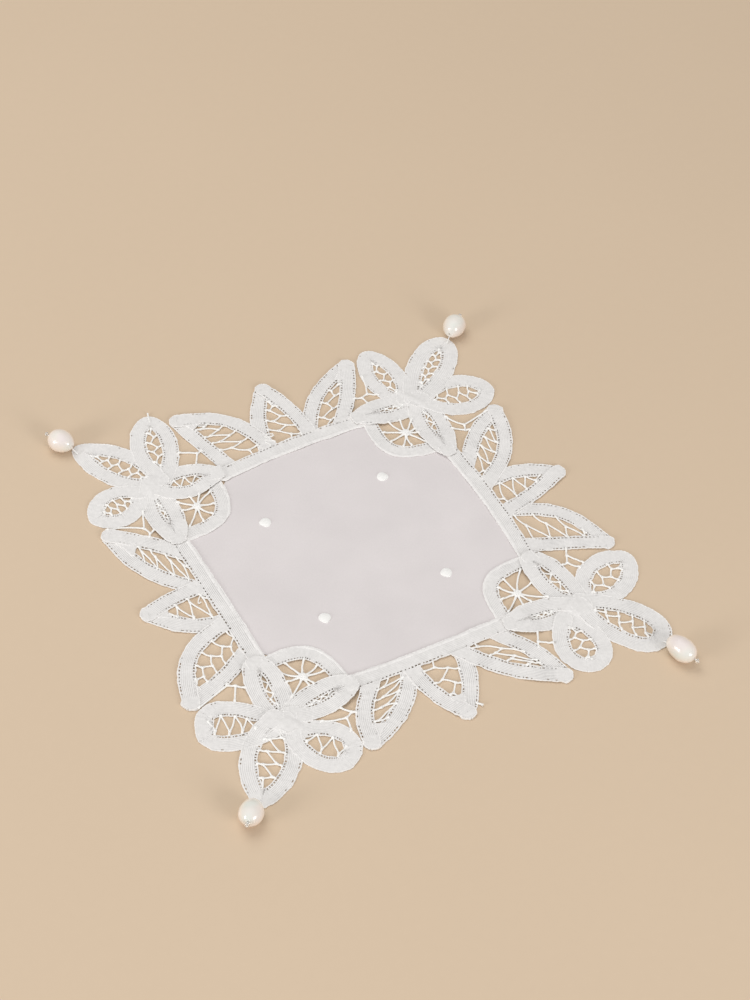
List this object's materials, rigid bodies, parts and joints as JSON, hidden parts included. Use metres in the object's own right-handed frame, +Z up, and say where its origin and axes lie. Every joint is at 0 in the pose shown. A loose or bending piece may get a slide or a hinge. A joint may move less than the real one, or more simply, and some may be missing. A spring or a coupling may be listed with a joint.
{
  "type": "lace doily",
  "caption": "Square lawn doily framed in woven tape lace with leaf edges, flower corners and pearl beads.",
  "frame": {"origin": "under the middle of the cloth, at the doily's flat underside", "axes": "+Z up, out of the face that rests; +X and +Y along the cloth's sides, +Y away from the picture's viewer"},
  "size_m": [0.1563, 0.1678, 0.0076],
  "materials": {
    "lawn": "fine cotton lawn, white",
    "tape": "woven cotton lace tape, white",
    "thread": "cotton sewing and lace thread, off-white",
    "pearl": "pearly, soft gloss",
    "seed_bead": "small clear glass bead"
  },
  "bodies": {
    "root": {"arc_tape_north_east": "tape", "arc_tape_north_west": "tape", "arc_tape_south_east": "tape", "arc_tape_south_west": "tape", "border_tape_east": "tape", "border_tape_north": "tape", "border_tape_south": "tape", "border_tape_west": "tape", "cloth": "lawn", "dot_north_east": "thread", "dot_north_west": "thread", "dot_south_east": "thread", "dot_south_west": "thread", "flower_north_east": "tape", "flower_north_west": "tape", "flower_south_east": "tape", "flower_south_west": "tape", "leaves_east": "tape", "leaves_north": "tape", "leaves_south": "tape", "leaves_west": "tape", "pearl_north_east": "pearl", "pearl_north_west": "pearl", "pearl_south_east": "pearl", "pearl_south_west": "pearl", "seed_bead_north_east": "seed_bead", "seed_bead_north_west": "seed_bead", "seed_bead_south_east": "seed_bead", "seed_bead_south_west": "seed_bead", "thread_web_north_east_a": "thread", "thread_web_north_east_b": "thread", "thread_web_north_west_a": "thread", "thread_web_north_west_b": "thread", "thread_web_south_east_a": "thread", "thread_web_south_east_b": "thread", "thread_web_south_west_a": "thread", "thread_web_south_west_b": "thread", "thread_wheel_north_east": "thread", "thread_wheel_north_west": "thread", "thread_wheel_south_east": "thread", "thread_wheel_south_west": "thread"}
  },
  "joints": []
}
